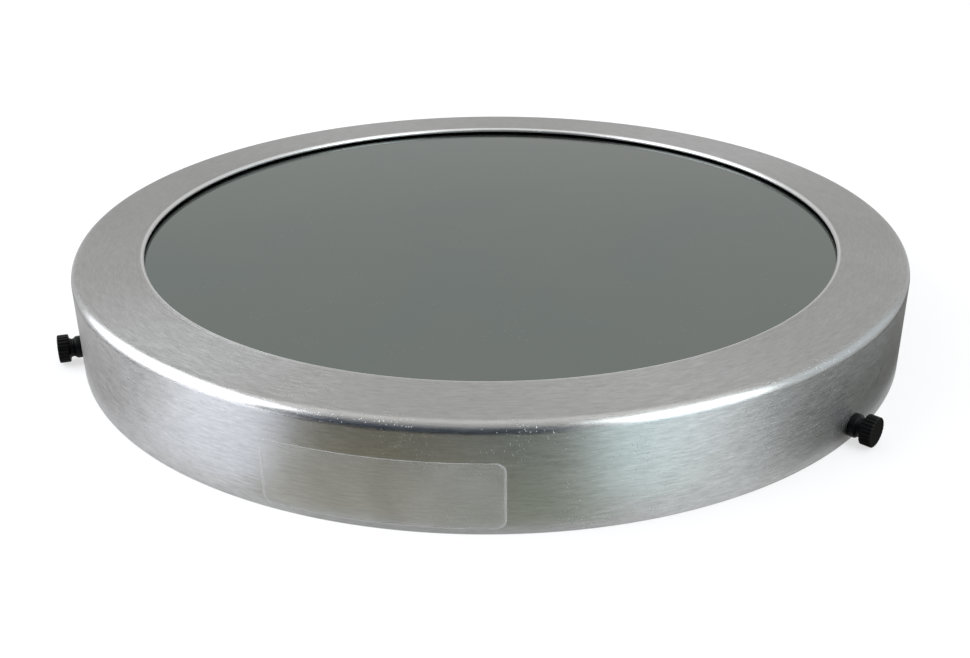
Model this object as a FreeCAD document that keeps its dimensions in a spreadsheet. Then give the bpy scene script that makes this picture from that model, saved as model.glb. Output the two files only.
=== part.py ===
import FreeCAD, Part
import math
import os

import Sketcher

# Solar filter for the front of a telescope: a spun aluminium cell that caps the
# tube, a mirror-coated glass window held between two gaskets by a sprung ring,
# and three thumbscrews that grip the tube. Millimetres, +Z towards the sun, the
# origin at the middle of the open rim, and the label on the -Y side.

SIZES = {
    "inner_diameter": 304.8,         # bore of the skirt, 12 inches
    "wall": 1.6,                     # sheet the cell is spun from
    "cell_height": 35.2,
    "front_width": 24.3,             # front face, from the bead to the edge of the opening
    "corner_radius": 3.5,            # bead round the front edge, outside
    "bead_overhang": 0.4,            # how far the bead stands out past the skirt
    "bead_fillet": 1.5,              # hollow where the bead runs into the skirt
    "lip_turn": 2.5,                 # width of the turned-down edge of the opening
    "lip_bend": 8.0,                 # outside radius of that edge
    "lip_break": 0.35,               # broken edges of the opening
    "rim_chamfer": 0.2,
    "glass_thickness": 3.2,
    "glass_clearance": 1.4,          # between the glass and the skirt
    "glass_chamfer": 0.4,
    "front_gasket_thickness": 0.9,
    "front_gasket_inset": 4.0,       # from the edge of the glass to the front gasket
    "rear_gasket_thickness": 1.8,
    "rear_gasket_width": 6.0,
    "ring_height": 4.8,
    "ring_depth": 3.2,
    "ring_gap": 6.0,                 # split of the sprung ring
    "ring_chamfer": 0.4,
    "ring_clearance": 0.1,
    "felt_thickness": 1.9,
    "felt_clearance": 0.1,           # adhesive behind the felt
    "felt_margin": 1.0,              # bare wall above and below the felt
    "felt_gap": 1.2,                 # butt joint of the felt
    "screw_height": 5.4,             # thumbscrew axes above the rim
    "insert_shank_wall": 0.56,
    "insert_flange_reach": 1.25,     # how far the flange stands out past the shank
    "insert_flange_thickness": 2.3,
    "insert_flush": 0.1,             # shank end below the outside of the skirt
    "insert_clearance": 0.02,
    "insert_chamfer": 0.3,
    "thread_diameter": 4.16,         # number 8 thread, 32 to the inch
    "thread_clearance": 0.06,
    "thread_length": 9.5,
    "thread_chamfer": 0.5,
    "collar_seat": 0.3,              # collar to skirt with the screw run in
    "collar_diameter": 7.9,
    "collar_break": 0.3,             # edge of the collar next to the skirt
    "collar_flat": 1.0,              # straight side of the collar
    "collar_round": 1.1,             # edge of the collar next to the neck
    "neck_diameter": 6.4,
    "neck_round": 1.1,               # hollow of the waisted neck
    "head_diameter": 10.0,
    "head_length": 3.75,
    "head_chamfer": 0.25,
    "knurl_count": 24,
    "knurl_depth": 0.3,
    "knurl_width": 0.6,
    "label_length": 71.8,            # along the skirt
    "label_height": 21.3,
    "label_base": 1.9,
    "label_corner": 3.0,
    "label_thickness": 0.1,
    "label_clearance": 0.02,         # adhesive behind the label
}
SCREWS = {"left": 210, "right": 330, "back": 90}    # degrees round from +X
LABEL_AZIMUTH = -89.25
RING_GAP_AZIMUTH = 50
FELT_GAP_AZIMUTH = 20

# Heights and radii that several pieces share, each worked out from the sheet.
BORE = "(Sizes.inner_diameter / 2)"
SKIRT = "(Sizes.inner_diameter / 2 + Sizes.wall)"
BEAD = "(Sizes.inner_diameter / 2 + Sizes.wall + Sizes.bead_overhang)"
OPENING = f"({BEAD} - Sizes.front_width)"
GLASS_TOP = "(Sizes.cell_height - Sizes.wall - Sizes.front_gasket_thickness)"
GLASS_BACK = f"({GLASS_TOP} - Sizes.glass_thickness)"
GLASS_RADIUS = f"({BORE} - Sizes.glass_clearance)"
RING_TOP = f"({GLASS_BACK} - Sizes.rear_gasket_thickness)"
RING_BOTTOM = f"({RING_TOP} - Sizes.ring_height)"
THREAD_BORE = "(Sizes.thread_diameter / 2 + Sizes.thread_clearance)"
INSERT_SHANK = f"({THREAD_BORE} + Sizes.insert_shank_wall)"
INSERT_FLANGE = f"({INSERT_SHANK} + Sizes.insert_flange_reach)"

document = FreeCAD.newDocument("solar_filter")
sheet = document.addObject("Spreadsheet::Sheet", "Sizes")
for row, (alias, size) in enumerate(SIZES.items(), start=1):
    sheet.set(f"A{row}", alias.replace("_", " "))
    sheet.set(f"B{row}", str(size))
    sheet.setAlias(f"B{row}", alias)
document.recompute()


def value(expression):
    """Number that an expression on the sheet gives."""
    result = sheet.evalExpression(expression)
    return float(getattr(result, "Value", result))


def new_body(name):
    """Body of one piece, which its file is named after."""
    body = document.addObject("PartDesign::Body", name)
    body.Label = name
    return body


def new_sketch(body, name, plane="XZ_Plane"):
    """Sketch on one of the body's own planes. On XZ its axes are radius and height."""
    sketch = body.newObject("Sketcher::SketchObject", name)
    support = [f for f in body.Origin.OriginFeatures if f.Role == plane][0]
    sketch.AttachmentSupport = (support, [""])
    sketch.MapMode = "FlatFace"
    return sketch


def dimension(sketch, name, expression, kind, *places):
    """Dimension with a name, tied to the sheet."""
    index = sketch.addConstraint(Sketcher.Constraint(kind, *places, value(expression)))
    sketch.renameConstraint(index, name)
    sketch.setExpression(f"Constraints.{name}", expression)


def corner(x, y):
    """Corner of an outline, given by two expressions on the sheet."""
    return (x, y, None, None)


def arc_to(x, y, radius, turn):
    """Corner reached by an arc, which turns left (1) or right (-1) along the outline."""
    return (x, y, radius, turn)


def arc_between(start, end, radius, turn):
    """Arc of a circle under half a turn from start to end."""
    middle = (start + end) / 2
    chord = end - start
    left = FreeCAD.Vector(-chord.y, chord.x, 0).normalize()
    rise = math.sqrt(radius ** 2 - chord.Length ** 2 / 4)
    centre = middle + left * (turn * rise)
    circle = Part.Circle(centre, FreeCAD.Vector(0, 0, 1), radius)
    angles = [math.atan2(p.y - centre.y, p.x - centre.x) for p in (start, end)]
    if turn < 0:
        angles.reverse()
    return Part.ArcOfCircle(circle, *angles)


def draw_outline(sketch, corners):
    """Closed outline of lines and arcs, each corner and radius tied to the sheet."""
    points = [FreeCAD.Vector(value(x), value(y), 0) for x, y, radius, turn in corners]
    ends = []
    for i, (x, y, radius, turn) in enumerate(corners):
        start, end = points[i - 1], points[i]
        if radius:
            sketch.addGeometry(arc_between(start, end, value(radius), turn), False)
            dimension(sketch, f"radius_{i}", radius, "Radius", i)
        else:
            sketch.addGeometry(Part.LineSegment(start, end), False)
        ends.append((1, 2) if turn != -1 else (2, 1))
    for i, (x, y, radius, turn) in enumerate(corners):
        after = (i + 1) % len(corners)
        meet = (i, ends[i][1], after, ends[after][0])
        sketch.addConstraint(Sketcher.Constraint("Coincident", *meet))
        dimension(sketch, f"across_{i}", x, "DistanceX", i, ends[i][1])
        dimension(sketch, f"along_{i}", y, "DistanceY", i, ends[i][1])


def revolve(body, name, corners, angle=None):
    """Outline turned about the body's own Z axis, or part of a turn of it."""
    sketch = new_sketch(body, f"{name}_section")
    draw_outline(sketch, corners)
    turned = body.newObject("PartDesign::Revolution", name)
    turned.Profile = sketch
    turned.ReferenceAxis = (sketch, ["V_Axis"])
    turned.Angle = 360
    if angle:
        turned.setExpression("Angle", angle)
    sketch.Visibility = False
    document.recompute()
    return turned


def edges_where(feature, test):
    """Names of a feature's edges whose middle point passes a test."""
    names = []
    for number, edge in enumerate(feature.Shape.Edges, start=1):
        middle = edge.valueAt((edge.FirstParameter + edge.LastParameter) / 2)
        if test(edge, middle):
            names.append(f"Edge{number}")
    return names


def finish_edges(body, kind, name, feature, size, test):
    """Fillet or chamfer on the edges of a feature that pass a test."""
    finish = body.newObject(f"PartDesign::{kind}", name)
    finish.Base = (feature, edges_where(feature, test))
    finish.setExpression("Radius" if kind == "Fillet" else "Size", size)
    document.recompute()
    return finish


def removes(feature, base):
    """Stops the build when a cut takes nothing away."""
    if not feature.Shape.Volume < base.Shape.Volume:
        raise RuntimeError(f"{feature.Name} cuts nothing")


def ring_section(inner, outer, low, high):
    """Corners of a rectangular section between two radii and two heights."""
    return [corner(inner, low), corner(outer, low), corner(outer, high), corner(inner, high)]


def gap_angle(gap, radius):
    """Angle that a ring turns through when a gap is left between its ends."""
    return f"360 deg - 2 * asin({gap} / 2 / ({radius}))"


def stand_on_skirt(body, azimuth):
    """Sets a body's own Z axis outwards on a thumbscrew's axis, at the outside of the skirt."""
    outwards = FreeCAD.Vector(math.cos(math.radians(azimuth)), math.sin(math.radians(azimuth)), 0)
    body.Placement.Rotation = FreeCAD.Rotation(FreeCAD.Vector(0, 0, 1), outwards)
    body.setExpression("Placement.Base.x", f"{SKIRT} * cos({azimuth} deg)")
    body.setExpression("Placement.Base.y", f"{SKIRT} * sin({azimuth} deg)")
    body.setExpression("Placement.Base.z", "Sizes.screw_height")


def make_cell():
    """Spun cap: one sheet of even thickness, followed from the rim up the skirt,
    round the bead, across the front and down at the lip, then back along the inside."""
    body = new_body("cell")
    reach = "(Sizes.corner_radius + Sizes.bead_fillet)"
    cosine = f"(1 - Sizes.bead_overhang / {reach})"
    sine = f"sqrt(1 - {cosine} ^ 2)"
    bead_x = f"({BEAD} - Sizes.corner_radius)"
    bead_z = "(Sizes.cell_height - Sizes.corner_radius)"
    hollow_z = f"({bead_z} - {reach} * {sine})"
    lip_x = f"({OPENING} + Sizes.lip_turn)"
    lip_z = "(Sizes.cell_height - Sizes.lip_bend)"
    lip_sine = "(Sizes.lip_turn / (Sizes.lip_bend - Sizes.lip_break))"
    lip_cosine = f"sqrt(1 - {lip_sine} ^ 2)"
    inside = "(Sizes.corner_radius - Sizes.wall)"
    hollow_inside = "(Sizes.bead_fillet + Sizes.wall)"
    lip_inside = "(Sizes.lip_bend - Sizes.wall)"
    lip_over = f"(Sizes.lip_bend * {lip_sine} - Sizes.lip_break)"
    lip_under = f"({lip_inside} * {lip_sine} - Sizes.lip_break)"
    edge_over = "(Sizes.lip_bend - Sizes.lip_break)"
    edge_under = f"({lip_inside} + Sizes.lip_break)"
    underside = "Sizes.cell_height - Sizes.wall"
    spun = revolve(body, "spun_sheet", [
        corner(BORE, "0"),
        corner(SKIRT, "0"),
        corner(SKIRT, hollow_z),
        arc_to(f"{bead_x} + Sizes.corner_radius * {cosine}",
               f"{bead_z} - Sizes.corner_radius * {sine}", "Sizes.bead_fillet", -1),
        arc_to(bead_x, "Sizes.cell_height", "Sizes.corner_radius", 1),
        corner(lip_x, "Sizes.cell_height"),
        arc_to(f"{lip_x} - {lip_over}", f"{lip_z} + sqrt(Sizes.lip_bend ^ 2 - {lip_over} ^ 2)",
               "Sizes.lip_bend", 1),
        corner(f"{lip_x} - {edge_over} * {lip_sine}", f"{lip_z} + {edge_over} * {lip_cosine}"),
        corner(f"{lip_x} - {edge_under} * {lip_sine}", f"{lip_z} + {edge_under} * {lip_cosine}"),
        corner(f"{lip_x} - {lip_under}", f"{lip_z} + sqrt({lip_inside} ^ 2 - {lip_under} ^ 2)"),
        arc_to(lip_x, underside, lip_inside, -1),
        corner(bead_x, underside),
        arc_to(f"{bead_x} + {inside} * {cosine}", f"{bead_z} - {inside} * {sine}", inside, -1),
        arc_to(BORE, hollow_z, hollow_inside, 1),
    ])

    rim = finish_edges(body, "Chamfer", "rim_edges", spun, "Sizes.rim_chamfer",
                       lambda edge, p: abs(p.z) < 1e-6 and edge.Closed)

    circle = new_sketch(body, "insert_hole_circle")
    centre = FreeCAD.Vector(0, value("Sizes.screw_height"), 0)
    radius = f"{INSERT_SHANK} + Sizes.insert_clearance"
    circle.addGeometry(Part.Circle(centre, FreeCAD.Vector(0, 0, 1), value(radius)), False)
    circle.addConstraint(Sketcher.Constraint("PointOnObject", 0, 3, -2))
    dimension(circle, "height", "Sizes.screw_height", "DistanceY", 0, 3)
    dimension(circle, "radius", radius, "Radius", 0)
    hole = body.newObject("PartDesign::Pocket", "insert_hole")
    hole.Profile = circle
    hole.Reversed = False
    hole.setExpression("Length", f"{SKIRT} + Sizes.wall")
    circle.Visibility = False
    document.recompute()
    removes(hole, rim)

    axis = [f for f in body.Origin.OriginFeatures if f.Role == "Z_Axis"][0]
    holes = body.newObject("PartDesign::PolarPattern", "insert_holes")
    holes.Originals = [hole]
    holes.Axis = (axis, [""])
    holes.Angle = 360
    holes.Occurrences = len(SCREWS)
    body.Tip = holes
    document.recompute()
    removes(holes, hole)
    return body


def make_front_gasket():
    """Flat rubber ring between the front face of the cell and the glass."""
    body = new_body("front_gasket")
    inner = f"{OPENING} + Sizes.lip_turn"
    outer = f"{GLASS_RADIUS} - Sizes.front_gasket_inset"
    revolve(body, "gasket", ring_section(
        inner, outer, GLASS_TOP, "Sizes.cell_height - Sizes.wall"))
    return body


def make_glass():
    """Round window with ground edges. The mirror coating is on its front."""
    body = new_body("solar_glass")
    sketch = new_sketch(body, "glass_circle", "XY_Plane")
    sketch.AttachmentOffset.Base.z = value(GLASS_BACK)
    sketch.setExpression("AttachmentOffset.Base.z", GLASS_BACK)
    origin = FreeCAD.Vector(0, 0, 0)
    circle = Part.Circle(origin, FreeCAD.Vector(0, 0, 1), value(GLASS_RADIUS))
    sketch.addGeometry(circle, False)
    sketch.addConstraint(Sketcher.Constraint("Coincident", 0, 3, -1, 1))
    dimension(sketch, "radius", GLASS_RADIUS, "Radius", 0)
    pane = body.newObject("PartDesign::Pad", "pane")
    pane.Profile = sketch
    pane.setExpression("Length", "Sizes.glass_thickness")
    sketch.Visibility = False
    document.recompute()
    finish_edges(body, "Chamfer", "ground_edges", pane, "Sizes.glass_chamfer",
                 lambda edge, p: edge.Closed)
    return body


def make_rear_gasket():
    """Foam ring between the back of the glass and the retaining ring."""
    body = new_body("rear_gasket")
    inner = f"{GLASS_RADIUS} - Sizes.rear_gasket_width"
    revolve(body, "gasket", ring_section(inner, GLASS_RADIUS, RING_TOP, GLASS_BACK))
    return body


def make_retaining_ring():
    """Hoop of flat bar, split so that it springs out against the skirt."""
    body = new_body("retaining_ring")
    outer = f"({BORE} - Sizes.ring_clearance)"
    hoop = revolve(body, "hoop", ring_section(
        f"{outer} - Sizes.ring_depth", outer, RING_BOTTOM, RING_TOP),
        gap_angle("Sizes.ring_gap", outer))
    inner = value(f"{outer} - Sizes.ring_depth / 2")
    finish_edges(body, "Chamfer", "inner_edges", hoop, "Sizes.ring_chamfer",
                 lambda edge, p: edge.Length > inner and math.hypot(p.x, p.y) < inner)
    body.Placement.Rotation = FreeCAD.Rotation(FreeCAD.Vector(0, 0, 1), RING_GAP_AZIMUTH)
    return body


def make_felt():
    """Felt strip glued round the skirt, between the inserts and the retaining ring."""
    body = new_body("felt_lining")
    outer = f"({BORE} - Sizes.felt_clearance)"
    low = f"Sizes.screw_height + {INSERT_FLANGE} + Sizes.felt_margin"
    revolve(body, "strip", ring_section(
        f"{outer} - Sizes.felt_thickness", outer, low, f"{RING_BOTTOM} - Sizes.felt_margin"),
        gap_angle("Sizes.felt_gap", outer))
    body.Placement.Rotation = FreeCAD.Rotation(FreeCAD.Vector(0, 0, 1), FELT_GAP_AZIMUTH)
    return body


def make_insert(name, azimuth):
    """Threaded insert pressed into the skirt from inside. Its flange bears on the
    curved wall at its two sides, so it seats a little below the middle of the wall."""
    body = new_body(name)
    chamfer = "Sizes.insert_chamfer"
    end = "-Sizes.insert_flush"
    seat = f"(sqrt({BORE} ^ 2 - {INSERT_FLANGE} ^ 2) - Sizes.insert_clearance - {SKIRT})"
    back = f"({seat} - Sizes.insert_flange_thickness)"
    revolve(body, "turned_blank", [
        corner(f"{THREAD_BORE} + {chamfer}", back),
        corner(f"{INSERT_FLANGE} - {chamfer}", back),
        corner(INSERT_FLANGE, f"{back} + {chamfer}"),
        corner(INSERT_FLANGE, seat),
        corner(INSERT_SHANK, seat),
        corner(INSERT_SHANK, end),
        corner(THREAD_BORE, end),
        corner(THREAD_BORE, f"{back} + {chamfer}"),
    ])
    stand_on_skirt(body, azimuth)
    return body


def make_thumbscrew(name, azimuth):
    """Nylon thumbscrew: shank, collar, neck that hollows out of the collar's rounded
    outer edge, and a flat head with a straight knurl."""
    body = new_body(name)
    shank = "(Sizes.thread_diameter / 2)"
    collar = "(Sizes.collar_diameter / 2)"
    neck = "(Sizes.neck_diameter / 2)"
    head = "(Sizes.head_diameter / 2)"
    collar_break = "Sizes.collar_break"
    collar_round = "Sizes.collar_round"
    neck_round = "Sizes.neck_round"
    across = f"(({neck} + {neck_round}) - ({collar} - {collar_round}))"
    reach = f"({collar_round} + {neck_round})"
    along = f"sqrt({reach} ^ 2 - {across} ^ 2)"
    tip = "(Sizes.collar_seat - Sizes.thread_length)"
    flat_end = f"(Sizes.collar_seat + {collar_break} + Sizes.collar_flat)"
    head_back = f"({flat_end} + {along} + {neck_round})"
    head_front = f"({head_back} + Sizes.head_length)"
    turned = revolve(body, "turned_screw", [
        corner("0", tip),
        corner(f"{shank} - Sizes.thread_chamfer", tip),
        corner(shank, f"{tip} + Sizes.thread_chamfer"),
        corner(shank, "Sizes.collar_seat"),
        corner(f"{collar} - {collar_break}", "Sizes.collar_seat"),
        arc_to(collar, f"Sizes.collar_seat + {collar_break}", collar_break, 1),
        corner(collar, flat_end),
        arc_to(f"{collar} - {collar_round} + {collar_round} * {across} / {reach}",
               f"{flat_end} + {collar_round} * {along} / {reach}", collar_round, 1),
        arc_to(f"{neck} + {neck_round}", head_back, neck_round, -1),
        corner(f"{head} - Sizes.head_chamfer", head_back),
        corner(head, f"{head_back} + Sizes.head_chamfer"),
        corner(head, f"{head_front} - Sizes.head_chamfer"),
        corner(f"{head} - Sizes.head_chamfer", head_front),
        corner("0", head_front),
    ])

    notch = new_sketch(body, "knurl_notch", "XY_Plane")
    draw_outline(notch, [
        corner(f"{head} - Sizes.knurl_depth", "0"),
        corner(f"{head} + Sizes.knurl_depth", "-Sizes.knurl_width"),
        corner(f"{head} + Sizes.knurl_depth", "Sizes.knurl_width"),
    ])
    groove = body.newObject("PartDesign::Pocket", "knurl_groove")
    groove.Profile = notch
    groove.Reversed = True
    groove.setExpression("Length", f"{head_front} + Sizes.head_length")
    notch.Visibility = False
    document.recompute()
    removes(groove, turned)

    axis = [f for f in body.Origin.OriginFeatures if f.Role == "Z_Axis"][0]
    knurl = body.newObject("PartDesign::PolarPattern", "knurl")
    knurl.Originals = [groove]
    knurl.Axis = (axis, [""])
    knurl.Angle = 360
    knurl.setExpression("Occurrences", "Sizes.knurl_count")
    body.Tip = knurl
    document.recompute()
    removes(knurl, groove)
    stand_on_skirt(body, azimuth)
    return body


def make_label():
    """Clear film stuck on the skirt, with rounded corners and nothing printed on it."""
    body = new_body("label")
    inner = f"({SKIRT} + Sizes.label_clearance)"
    outer = f"({inner} + Sizes.label_thickness)"
    film = revolve(body, "film", ring_section(
        inner, outer, "Sizes.label_base", "Sizes.label_base + Sizes.label_height"),
        f"Sizes.label_length / {outer} * 1 rad")
    film.Midplane = True
    document.recompute()
    thickness = value("Sizes.label_thickness")
    finish_edges(body, "Fillet", "rounded_corners", film, "Sizes.label_corner",
                 lambda edge, p: abs(edge.Length - thickness) < 1e-3)
    body.Placement.Rotation = FreeCAD.Rotation(FreeCAD.Vector(0, 0, 1), LABEL_AZIMUTH)
    return body


pieces = [
    make_cell(),
    make_front_gasket(),
    make_glass(),
    make_rear_gasket(),
    make_retaining_ring(),
    make_felt(),
    make_label(),
]
for side, azimuth in SCREWS.items():
    pieces.append(make_insert(f"thread_insert_{side}", azimuth))
    pieces.append(make_thumbscrew(f"thumbscrew_{side}", azimuth))
document.recompute()

for item in document.Objects:
    if "Invalid" in item.State or "Error" in item.State:
        raise RuntimeError(f"{item.Name} failed: {item.State}")
for piece in pieces:
    if piece.Shape.isNull() or not piece.Shape.isValid():
        raise RuntimeError(f"{piece.Label} has no valid shape")

os.makedirs("parts", exist_ok=True)
for piece in pieces:
    piece.Shape.exportStep(f"parts/{piece.Label}.step")
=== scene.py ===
import bpy
import numpy as np
from mathutils import Matrix


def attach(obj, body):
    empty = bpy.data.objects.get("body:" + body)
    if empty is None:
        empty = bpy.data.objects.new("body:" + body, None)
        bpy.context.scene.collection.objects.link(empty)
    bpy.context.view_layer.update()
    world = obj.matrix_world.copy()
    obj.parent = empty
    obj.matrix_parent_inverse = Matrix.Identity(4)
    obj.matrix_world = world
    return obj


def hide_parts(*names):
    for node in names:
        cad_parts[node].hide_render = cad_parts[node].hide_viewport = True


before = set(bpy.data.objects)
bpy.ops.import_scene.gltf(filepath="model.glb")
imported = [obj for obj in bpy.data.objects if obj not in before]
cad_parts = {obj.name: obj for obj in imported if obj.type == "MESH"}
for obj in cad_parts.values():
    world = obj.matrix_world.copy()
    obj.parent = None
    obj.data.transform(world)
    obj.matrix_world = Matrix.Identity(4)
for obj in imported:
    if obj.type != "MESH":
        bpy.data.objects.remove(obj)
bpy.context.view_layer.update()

# Camera. It looks down on the coated face at about 24 degrees, a little to the right of
# the label, and so close that the near side looks much larger than the far side.
IMAGE_WIDTH, IMAGE_HEIGHT = 970, 658
SENSOR_WIDTH = 36.0
FOCAL_PIXELS = 1157.44
CENTRE_X, CENTRE_Y = 495.38, 304.23
EYE_DISTANCE = 0.46061
AIM_RIGHT = 0.001648
VIEW_AZIMUTH, VIEW_ELEVATION, VIEW_ROLL = np.radians([12.4, 24.495, -0.251])


def heading(azimuth, elevation):
    """Unit vector towards an azimuth counted from -Y towards +X, at an elevation above the floor."""
    return np.array([
        np.sin(azimuth) * np.cos(elevation),
        -np.cos(azimuth) * np.cos(elevation),
        np.sin(elevation),
    ])


def placed(data, name, eye, back, roll=0.0):
    """Object that stands at eye and looks against back, level apart from its roll."""
    right = np.cross([0.0, 0.0, 1.0], back)
    right /= np.linalg.norm(right)
    up = np.cross(back, right)
    turned_right = right * np.cos(roll) + up * np.sin(roll)
    turned_up = up * np.cos(roll) - right * np.sin(roll)
    placement = np.eye(4)
    placement[:3, :] = np.column_stack([turned_right, turned_up, back, eye])
    thing = bpy.data.objects.new(name, data)
    bpy.context.scene.collection.objects.link(thing)
    thing.matrix_world = Matrix(placement.tolist())
    return thing


view_back = heading(VIEW_AZIMUTH, VIEW_ELEVATION)
view_right = np.array([np.cos(VIEW_AZIMUTH), np.sin(VIEW_AZIMUTH), 0.0])
camera_data = bpy.data.cameras.new("camera")
camera_data.sensor_fit = "HORIZONTAL"
camera_data.sensor_width = SENSOR_WIDTH
camera_data.lens = FOCAL_PIXELS / IMAGE_WIDTH * SENSOR_WIDTH
camera_data.shift_x = (IMAGE_WIDTH / 2 - CENTRE_X) / IMAGE_WIDTH
camera_data.shift_y = (CENTRE_Y - IMAGE_HEIGHT / 2) / IMAGE_WIDTH
camera_data.clip_start = 0.01
camera = placed(
    camera_data, "camera", AIM_RIGHT * view_right + EYE_DISTANCE * view_back, view_back, VIEW_ROLL
)
bpy.context.scene.camera = camera
bpy.context.scene.view_settings.view_transform = "Standard"


# Studio. A plain white floor under a white sky, one large soft light overhead and three at the
# sides. Dark and bright cards, which only reflections show, give the polished metal its bands.
FLOOR_HALF = 6.0
FLOOR_DROP = 0.00005
FLOOR_ALBEDO = 0.80
FLOOR_OWN_WHITE = 0.62
SKY_FOR_SHADE = 0.75
CARD_POINTS = 41


def node(tree, kind, inputs=None, **settings):
    """Puts one node in a tree. Each input takes a constant, or the socket that feeds it."""
    made = tree.nodes.new(kind)
    for name, setting in settings.items():
        setattr(made, name, setting)
    for key, given in (inputs or {}).items():
        if isinstance(given, bpy.types.NodeSocket):
            tree.links.new(given, made.inputs[key])
        else:
            made.inputs[key].default_value = given
    return made


def calc(tree, operation, a, b=0.0, clamp=False):
    """One sum on two values."""
    return node(tree, "ShaderNodeMath", {0: a, 1: b}, operation=operation, use_clamp=clamp).outputs[0]


def emptied(block):
    """The node tree of a material or a world, cleared."""
    block.use_nodes = True
    block.node_tree.nodes.clear()
    return block.node_tree


def mix_shaders(tree, factor, first, second):
    """Two shaders mixed by a factor: the first at 0, the second at 1."""
    return node(tree, "ShaderNodeMixShader", {0: factor, 1: first.outputs[0], 2: second.outputs[0]})


def either_ray(tree):
    """1 for a camera, glossy or transmission ray and 0 for the rays that only carry light."""
    path = node(tree, "ShaderNodeLightPath").outputs
    shown = calc(tree, "MAXIMUM", path["Is Camera Ray"], path["Is Glossy Ray"])
    return calc(tree, "MAXIMUM", shown, path["Is Transmission Ray"])


floor_paint = bpy.data.materials.new("floor_paint")
tree = emptied(floor_paint)
matt = node(tree, "ShaderNodeBsdfDiffuse", {"Color": (FLOOR_ALBEDO,) * 3 + (1.0,)})
white = node(tree, "ShaderNodeEmission", {"Color": (1.0, 1.0, 1.0, 1.0), "Strength": 1.0})
above = mix_shaders(tree, calc(tree, "MULTIPLY", either_ray(tree), FLOOR_OWN_WHITE), matt, white)
clear = node(tree, "ShaderNodeBsdfTransparent")
backfacing = node(tree, "ShaderNodeNewGeometry").outputs["Backfacing"]
node(tree, "ShaderNodeOutputMaterial", {"Surface": mix_shaders(tree, backfacing, above, clear).outputs[0]})

floor_mesh = bpy.data.meshes.new("floor")
floor_corners = [(x * FLOOR_HALF, y * FLOOR_HALF, 0) for x, y in ((-1, -1), (1, -1), (1, 1), (-1, 1))]
floor_mesh.from_pydata(floor_corners, [], [(0, 1, 2, 3)])
floor_mesh.materials.append(floor_paint)
floor = bpy.data.objects.new("floor", floor_mesh)
floor.location.z = -FLOOR_DROP
bpy.context.scene.collection.objects.link(floor)

sky = bpy.data.worlds.new("sky")
bpy.context.scene.world = sky
tree = emptied(sky)
lighting = node(tree, "ShaderNodeBackground", {"Color": (1.0, 1.0, 1.0, 1.0), "Strength": SKY_FOR_SHADE})
showing = node(tree, "ShaderNodeBackground", {"Color": (1.0, 1.0, 1.0, 1.0), "Strength": 1.0})
both = mix_shaders(tree, either_ray(tree), lighting, showing)
node(tree, "ShaderNodeOutputWorld", {"Surface": both.outputs[0]})

# name, azimuth beside the camera, elevation, distance, width, height, watts, colour
LIGHTS = [
    ("light_above", 180.0, 88.0, 1.6, 2.2, 1.1, 4.5, (1.0, 0.98, 0.95)),
    ("light_left", -88.0, 26.0, 1.5, 1.70, 1.40, 34.0, (0.90, 0.93, 1.0)),
    ("light_right", 50.0, 26.0, 1.5, 1.00, 1.40, 20.0, (0.88, 0.96, 1.0)),
    ("light_far_right", 95.0, 14.0, 1.5, 1.30, 0.90, 2.0, (0.62, 0.84, 1.0)),
]
for name, beside, elevation, distance, width, height, watts, colour in LIGHTS:
    lamp = bpy.data.lights.new(name, "AREA")
    lamp.shape = "RECTANGLE"
    lamp.size, lamp.size_y = width, height
    lamp.energy = watts
    lamp.color = colour
    towards = heading(VIEW_AZIMUTH + np.radians(beside), np.radians(elevation))
    placed(lamp, name, towards * distance, towards).visible_camera = False


def lying(height, *distances):
    """A card's path along the floor, at one height."""
    return [(distance, height) for distance in distances]


def smooth(value, low, high):
    """0 below low, 1 above high, and 3t^2 - 2t^3 between them."""
    t = np.clip((value - low) / (high - low), 0.0, 1.0)
    return t * t * (3 - 2 * t)


def grid_quads(rows, columns, closed_rows=True, closed_columns=True):
    """Quads between neighbouring points of a rows x columns grid, which may close on itself in either
    direction. They face the side from which the columns run to the right and the rows upwards."""
    i = np.arange(rows if closed_rows else rows - 1)[:, None]
    j = np.arange(columns if closed_columns else columns - 1)[None, :]
    i_next, j_next = (i + 1) % rows, (j + 1) % columns
    corners = [i * columns + j, i * columns + j_next, i_next * columns + j_next, i_next * columns + j]
    return np.stack(corners, -1)


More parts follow.
